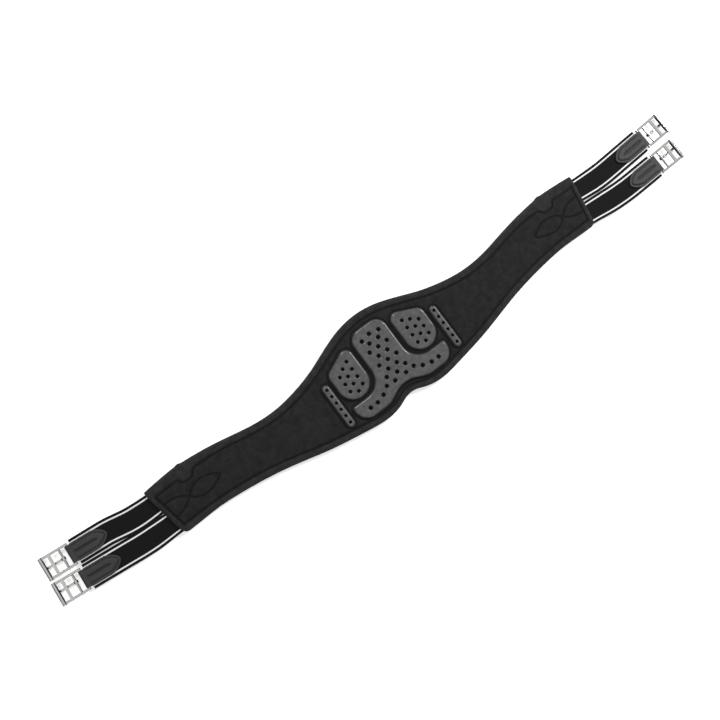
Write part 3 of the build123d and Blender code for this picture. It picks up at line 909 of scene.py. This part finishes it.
# %% Weave the four elastics
elastic_finish = bpy.data.materials.new("elastic")
for name in STRAP_NAMES:
    (rear, front), length = long_edges(f"elastic_{name}")
    low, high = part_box(f"elastic_{name}")
    start_clean()
    bpy.ops.mesh.primitive_grid_add(x_subdivisions=ELASTIC_COLUMNS, y_subdivisions=ELASTIC_ROWS, size=1)
    elastic = new_piece(f"strap_elastic_{name}")
    flat = points_of(elastic)
    station = np.round((flat[:, 0] + 0.5) * ELASTIC_COLUMNS).astype(int)
    share = (flat[:, 1] + 0.5)[:, None]
    run_out = np.clip((np.abs(rear[:, 0]) - EXIT_X) / WIDENS_OVER, 0, 1)[:, None]
    cut_width = np.linalg.norm(front[0] - rear[0])
    spare = run_out * (TAPE_WIDTH / cut_width - 1) * (front - rear) / 2
    rear, front = rear - spare, front + spare
    plan = rear[station] + share * (front[station] - rear[station])
    move_points(elastic, np.column_stack([plan, np.full(len(plan), (low.z + high.z) / 2)]))
    tape = elastic.data.uv_layers.active
    for loop in elastic.data.loops:
        along_tape = station[loop.vertex_index] / ELASTIC_COLUMNS * length / MM
        across_tape = (share[loop.vertex_index, 0] - 0.5) * TAPE_WIDTH / MM
        tape.data[loop.index].uv = (along_tape, across_tape)
    if name.endswith("left"):
        turn_faces_over(elastic)
    modifier_done(elastic, "SOLIDIFY", thickness=ELASTIC_WALL, offset=0)
    modifier_done(elastic, "BEVEL", width=SELVEDGE, segments=2, limit_method="ANGLE",
                  angle_limit=math.radians(60))
    bpy.ops.object.shade_smooth_by_angle(angle=math.radians(50))
    elastic.data.materials.clear()
    elastic.data.materials.append(elastic_finish)
    heel, outward, sideways = strap_end(name)
    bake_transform(elastic)
    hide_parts(f"elastic_{name}")
    print(elastic.name, round(length / MM, 1), "mm long,", round(TAPE_WIDTH / MM, 1), "mm wide")

# %% [markdown]
# The tape is polyester yarn woven over rubber cords. Its ribs run across, about 1 mm apart, and the cords
# make fainter lines along it. The two stripes are the same weave in white yarn, so they share the bump.

# %% Striped elastic finish
STRIPE_CENTRE = 14.6
STRIPE_HALF_WIDTH = 1.05
STRIPE_BLUR = 0.15
RIB_PER_MM = 1.0
CORD_PER_MM = 0.8

tree, shader = finish_material(elastic_finish, "woven_striped_elastic")
tape = node(tree, "SeparateXYZ", {0: node(tree, "TexCoord").outputs["UV"]})
turn = 2 * math.pi
rib_angle = node(tree, "Math", {0: tape.outputs[0], 1: turn * RIB_PER_MM}, operation="MULTIPLY")
ribs = node(tree, "Math", {0: rib_angle.outputs[0]}, operation="SINE")
cord_angle = node(tree, "Math", {0: tape.outputs[1], 1: turn * CORD_PER_MM}, operation="MULTIPLY")
cords = node(tree, "Math", {0: cord_angle.outputs[0]}, operation="COSINE")
weave = node(tree, "Math", {0: cords.outputs[0], 1: 0.6, 2: ribs.outputs[0]}, operation="MULTIPLY_ADD")
from_middle = node(tree, "Math", {0: tape.outputs[1]}, operation="ABSOLUTE")
from_stripe = node(tree, "Math", {0: from_middle.outputs[0], 1: STRIPE_CENTRE}, operation="SUBTRACT")
from_stripe = node(tree, "Math", {0: from_stripe.outputs[0]}, operation="ABSOLUTE")
in_stripe = node(tree, "MapRange",
                 {"Value": from_stripe.outputs[0], "From Min": STRIPE_HALF_WIDTH - STRIPE_BLUR,
                  "From Max": STRIPE_HALF_WIDTH + STRIPE_BLUR, "To Min": 1, "To Max": 0})
yarn_light = node(tree, "MapRange", {"Value": weave.outputs[0], "From Min": -1.6, "From Max": 1.6})
black = node(tree, "Mix", {0: yarn_light.outputs[0], 6: colour("#050505"), 7: colour("#151515")},
             data_type="RGBA")
white = node(tree, "Mix", {0: yarn_light.outputs[0], 6: colour("#cfcfcf"), 7: colour("#f4f4f4")},
             data_type="RGBA")
tint = node(tree, "Mix", {0: in_stripe.outputs[0], 6: black.outputs[2], 7: white.outputs[2]},
            data_type="RGBA")
bump = node(tree, "Bump", {"Height": weave.outputs[0], "Strength": 0.5, "Distance": 0.12 * MM})
feed(tree, shader, {"Base Color": tint.outputs[2], "Normal": bump.outputs[0], "Roughness": 0.8,
                    "Specular IOR Level": 0.15})

# %% [markdown]
# ## Chapes
# A chape is the leather that holds a buckle. It folds round the heel bar, closes over both faces of the
# elastic and is sewn through. Its face is creased in the way of good bridle work: a flat border, a sewn
# groove that follows the edge, a raised middle and a pressed slot down the centre. One grid is laid over the
# upper leaf, round the bar and back under, and each point's height follows from its distance to the edge.

# %% Outline and relief of the leather
LEATHER = 1.9 * MM
LEAF_TOP = 3.25 * MM
LEAF_INNER = LEAF_TOP - LEATHER
FOLD_RADIUS = 3.58 * MM
HALF_WIDTH = 14.25 * MM
NECK_HALF_WIDTH = 13.5 * MM
STRAIGHT_END = -38.3 * MM
TIP = -57.8 * MM
TIP_FULLNESS, TIP_BLUNTNESS = 1.35, 1.85
TIP_HALF_WIDTH = 0.4 * MM
NECK_FROM, NECK_TO = -7 * MM, -3 * MM
SWELL_OVER = 9 * MM
RELIEF_AT = np.array([0, 0.25, 0.6, 2.9, 3.5, 4.4, 5.2, 6.2, 11.6, 12.6]) * MM
RELIEF = np.array([-0.55, -0.2, 0, 0, -0.5, -0.5, 0.35, 0.6, 0.6, -0.65]) * MM
# Painted shade in each band: dark at the rounded edge, darkest in the sewn groove and the slot.
PAINTED_SHADE_BY_RELIEF = np.array([0.6, 0.2, 0.1, 0.2, 1, 1, 0.2, 0, 0, 1])
RELIEF_FADES = (-8.5 * MM, -4.5 * MM)
STITCH_INSET = 3.95 * MM
LEAF_COLUMNS, FOLD_COLUMNS, CHAPE_ROWS = 88, 18, 44
TIP_POINTS = 40


def half_width(u):
    """Half of the leaf's width: straight sides, then a rounded point."""
    share = np.clip((u - STRAIGHT_END) / (TIP - STRAIGHT_END), 0, 1)
    return HALF_WIDTH * (1 - share**TIP_FULLNESS) ** (1 / TIP_BLUNTNESS)


swing = np.linspace(0, math.pi / 2, TIP_POINTS)
side_u = np.append(10 * MM, STRAIGHT_END + (TIP - STRAIGHT_END) * np.sin(swing))
side = np.column_stack([side_u, half_width(side_u)])
leaf_outline = np.vstack([side, side[-2::-1] * (1, -1)])


def relief(plan):
    """Height of the creased face over the flat leather."""
    from_edge = distance_to(leaf_outline, plan, closed=False)
    height = np.interp(from_edge, RELIEF_AT, RELIEF)
    rounded_edge = (from_edge < RELIEF_AT[2]) & (height < 0)
    return np.where(rounded_edge, height, height * (1 - ease(plan[:, 0], *RELIEF_FADES)))


# %% Lay the leather over, round and under
start_clean()
CHAPE_COLUMNS = 2 * LEAF_COLUMNS + FOLD_COLUMNS
bpy.ops.mesh.primitive_grid_add(x_subdivisions=CHAPE_COLUMNS, y_subdivisions=CHAPE_ROWS, size=1)
chape_pattern = new_piece("chape_pattern")
flat = points_of(chape_pattern)
place = np.abs(np.round(flat[:, 0] * CHAPE_COLUMNS))
upper = np.where(flat[:, 0] > 0, 1, -1)
share = np.clip((place - FOLD_COLUMNS / 2) / LEAF_COLUMNS, 0, 1)
x = TIP * np.sin(share * math.pi / 2)
half = half_width(x)
half = half - (HALF_WIDTH - NECK_HALF_WIDTH) * ease(x, NECK_FROM, NECK_TO)
half = np.maximum(half, TIP_HALF_WIDTH)
y = 2 * flat[:, 1] * half
bend = np.clip(1 - place / (FOLD_COLUMNS / 2), 0, 1) * math.pi / 2
swell = np.clip(1 + x / SWELL_OVER, 0, 1)
z = LEAF_TOP + (FOLD_RADIUS - LEAF_TOP) * swell + relief(np.column_stack([x, y]))
wall = (z - LEAF_INNER) / (2 * LEATHER)
co = np.column_stack([x + z * np.sin(bend), y, upper * z * np.cos(bend)])
move_points(chape_pattern, co)
edge_gap = distance_to(leaf_outline, np.column_stack([x, y]), closed=False)
# Painted shade: the rounded edge, the sewn groove and the slot are darkened in the colour.
chape_painted_shade = np.interp(edge_gap, RELIEF_AT, PAINTED_SHADE_BY_RELIEF) * (x < RELIEF_FADES[1])
mark_painted_shade(chape_pattern, chape_painted_shade)
fullness = chape_pattern.vertex_groups.new(name="fullness")
for k, value in enumerate(wall):
    in_fold = place[k] < FOLD_COLUMNS / 2
    fullness.add([k], 0.5 if in_fold else float(value), "REPLACE")
turn_faces_over(chape_pattern)
facing = np.array([face.normal[:] for face in chape_pattern.data.polygons])
centres = np.array([face.center[:] for face in chape_pattern.data.polygons])
print("chape faces point outwards:", float(np.mean(facing[:, 2] * np.sign(centres[:, 2]) > -0.1)))
modifier_done(chape_pattern, "SOLIDIFY", thickness=2 * LEATHER, offset=-1, vertex_group="fullness")
chape_pattern.vertex_groups.clear()
bpy.ops.object.shade_smooth_by_angle(angle=math.radians(60))
CHAPE_GRAIN, CHAPE_ROUGHNESS = 0.7 * MM, 0.58
chape_finish = grained_leather(bpy.data.materials.new("chape"), "creased_bridle_leather", "#1e1e1e",
                               "#3e3e3e", CHAPE_GRAIN, CHAPE_ROUGHNESS)
chape_pattern.data.materials.append(chape_finish)
print("chape", len(chape_pattern.data.polygons), "faces")

# %% [markdown]
# ## Stitches
# A lockstitch shows as a row of short, fat dashes whose ends dive into the needle holes. One stitch is
# modelled from a small sphere: drawn out, flattened, and bent down at both ends. It has a few dozen faces,
# because it is copied hundreds of times along each seam.

# %% One stitch
THREAD_RADIUS = 0.36 * MM
STITCH_LENGTH = 2.5 * MM
STITCH_PITCH = 3.3 * MM
END_DIP = 0.35 * MM

start_clean()
bpy.ops.mesh.primitive_uv_sphere_add(segments=6, ring_count=5, radius=1, rotation=(0, math.pi / 2, 0))
stitch = new_piece("stitch")
bpy.ops.object.transform_apply(location=False, rotation=True, scale=False)
co = points_of(stitch) * (STITCH_LENGTH / 2, THREAD_RADIUS, 0.8 * THREAD_RADIUS)
co[:, 2] -= END_DIP * np.abs(co[:, 0] / (STITCH_LENGTH / 2)) ** 3
move_points(stitch, co)
bpy.ops.object.shade_smooth()
print("stitch", len(stitch.data.polygons), "faces")


def bonded_thread(name, code):
    """Bonded polyester thread: twisted, slightly waxy."""
    tree, shader = finish_material(bpy.data.materials.new(name), name)
    place = node(tree, "TexCoord").outputs["Object"]
    twist = node(tree, "TexWave", {"Vector": place, "Scale": 1 / (3 * MM)}, bands_direction="DIAGONAL")
    bump = node(tree, "Bump", {"Height": twist.outputs["Fac"], "Strength": 0.5, "Distance": 0.1 * MM})
    feed(tree, shader, {"Normal": bump.outputs[0], "Base Color": colour(code), "Roughness": 0.55})
    return bpy.data.materials[name]


def sew(name, path, closed, thread, face_up=True, body="root"):
    """Copy the stitch along a path, join the copies into one piece and let it ride on a body."""
    track = np.vstack([path, path[:1]]) if closed else path
    run = run_along(track)
    count = int(run[-1] / STITCH_PITCH)
    pitch = run[-1] / count
    start_clean()
    for k in range(count):
        here, behind, ahead = (
            Vector([np.interp(k * pitch + pitch / 2 + step, run, track[:, axis]) for axis in range(3)])
            for step in (0, -STITCH_LENGTH / 2, STITCH_LENGTH / 2)
        )
        forward = (ahead - behind).normalized()
        top = Vector((0, 0, 1 if face_up else -1))
        sideways = top.cross(forward).normalized()
        top = forward.cross(sideways)
        copy = add_object(name, stitch.data.copy())
        copy.data.transform(Matrix.Translation(here) @ Matrix((forward, sideways, top)).transposed().to_4x4())
        copy.select_set(True)
    bpy.context.view_layer.objects.active = copy
    bpy.ops.object.join()
    row = new_piece(name)
    row.data.materials.clear()
    row.data.materials.append(thread)
    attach(row, body)
    return row


# %% Sew the pad and the shell
SINK = 0.1 * MM
ABOVE_PAD = 0.05

black_thread = bonded_thread("black_bonded_thread", "#0a0a0a")
grey_thread = bonded_thread("charcoal_bonded_thread", "#1d1d1d")
liner_tree = BVHTree.FromObject(pad_liner, bpy.context.evaluated_depsgraph_get())


def on_liner(line):
    """Lift a line in plan onto the liner's upper face."""
    lifted = []
    for x, y in line:
        hit = liner_tree.ray_cast(Vector((x, y, ABOVE_PAD)), Vector((0, 0, -1)))[0]
        if hit is not None:
            lifted.append((x, y, hit.z + SINK))
    return np.array(lifted)


seam_path = sewn_seam - (0, 0, GROOVE_DEPTH - 2 * SINK)
rows = [sew("seam_stitches", seam_path, True, black_thread)]
for side_name, line in zip(("right", "left"), channels):
    rows.append(sew(f"channel_stitches_{side_name}", on_liner(line), False, black_thread))
shell_path = np.column_stack([sewn_seam[:, :2], np.full(len(sewn_seam), SINK)])
rows.append(sew("shell_stitches", shell_path, True, black_thread, face_up=False))
for row, slot_name in zip(rows, ("liner_fabric", "liner_fabric", "liner_fabric", "shell_leather")):
    print(row.name, len(row.data.polygons), "faces")

# %% [markdown]
# The chapes are placed by the joints: the heel bar gives the place and the strap's stretch gives the
# direction. Each one is a copy of the pattern with its own mesh, and its stitches ride with it.

# %% Place and sew the chapes
POINTS_PER_SPAN = 12
INSET_SLACK = 0.05 * MM

spread = np.diff(leaf_outline, axis=0)
inward = np.column_stack([spread[:, 1], -spread[:, 0]]) / np.linalg.norm(spread, axis=1, keepdims=True)
dense = np.vstack([np.linspace(a, b, POINTS_PER_SPAN) for a, b in zip(leaf_outline[:-1], leaf_outline[1:])])
turned = np.repeat(inward, POINTS_PER_SPAN, axis=0)
sides = [dense + sign * STITCH_INSET * turned for sign in (1, -1)]
inner = min(sides, key=lambda line: np.abs(line[:, 1]).max())
inner = inner[distance_to(leaf_outline, inner, closed=False) > STITCH_INSET - INSET_SLACK]
inner = inner[inner[:, 0] < RELIEF_FADES[1]]
for name in STRAP_NAMES:
    heel, outward, sideways = strap_end(name)
    place = Matrix.Translation(heel) @ Matrix((outward, sideways, (0, 0, 1))).transposed().to_4x4()
    chape = add_object(f"chape_leather_{name}", chape_pattern.data.copy())
    chape.data.transform(place)
    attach(chape, f"chape_end_{name}")
    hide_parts(f"chape_{name}")
    for face_name, level in (("upper", 1), ("lower", -1)):
        depth = np.full(len(inner), level * (LEAF_TOP + RELIEF.min() + 3 * SINK))
        local = [place @ Vector(point) for point in np.column_stack([inner, depth])]
        row = sew(f"chape_stitches_{face_name}_{name}", np.array(local), False, grey_thread, level > 0,
                  f"chape_end_{name}")
for pattern in (chape_pattern, stitch):
    bpy.data.objects.remove(pattern)
print("chapes placed")
